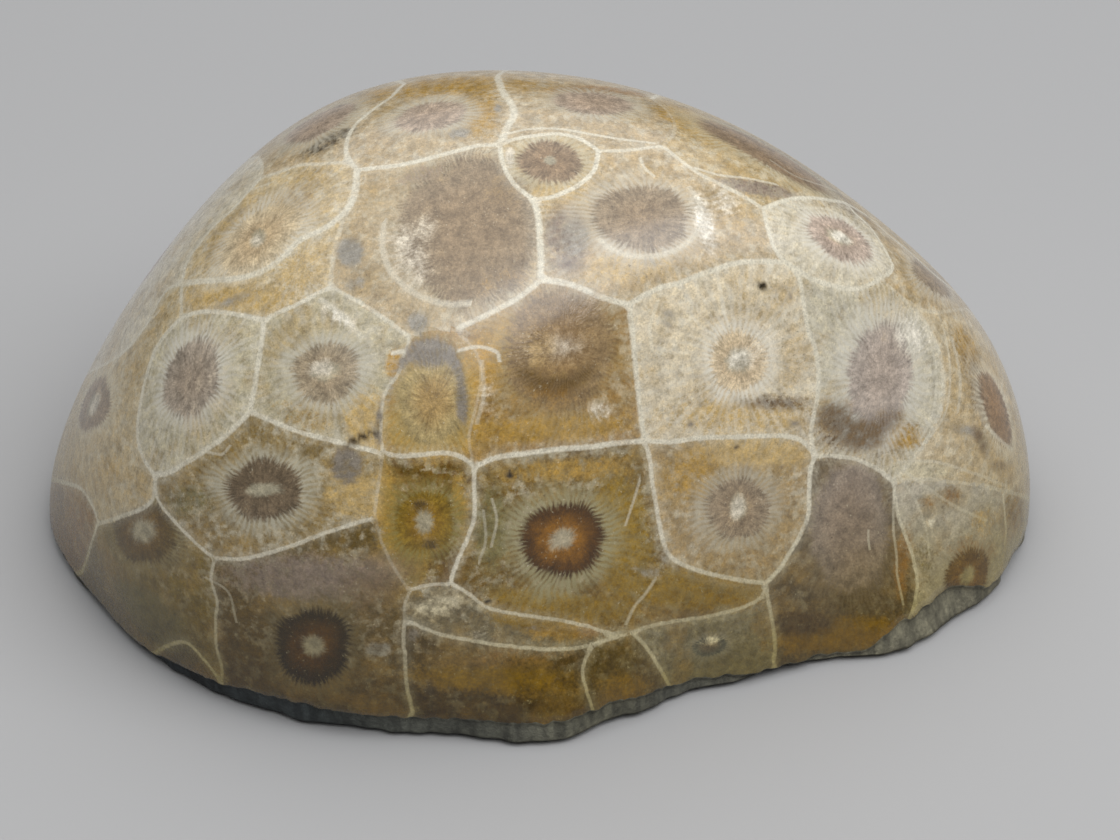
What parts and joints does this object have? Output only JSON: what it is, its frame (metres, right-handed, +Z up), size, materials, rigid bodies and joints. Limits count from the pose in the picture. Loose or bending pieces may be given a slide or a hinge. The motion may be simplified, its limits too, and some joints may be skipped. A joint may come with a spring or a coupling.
{
  "type": "fossil coral head",
  "caption": "Polished dome of fossil colonial coral, its many-sided cells and radiating septa showing, resting on its own rough unpolished base.",
  "frame": {"origin": "on the surface that the stone rests on, under the middle of its bounding box", "axes": "+Z up out of the crown, +X along the stone's long side towards its steep end, -Y towards its front"},
  "size_m": [0.0996, 0.0758, 0.0509],
  "materials": {
    "polished_limestone": "gloss"
  },
  "bodies": {
    "root": {"fossil_coral_head": "polished_limestone"}
  },
  "joints": []
}
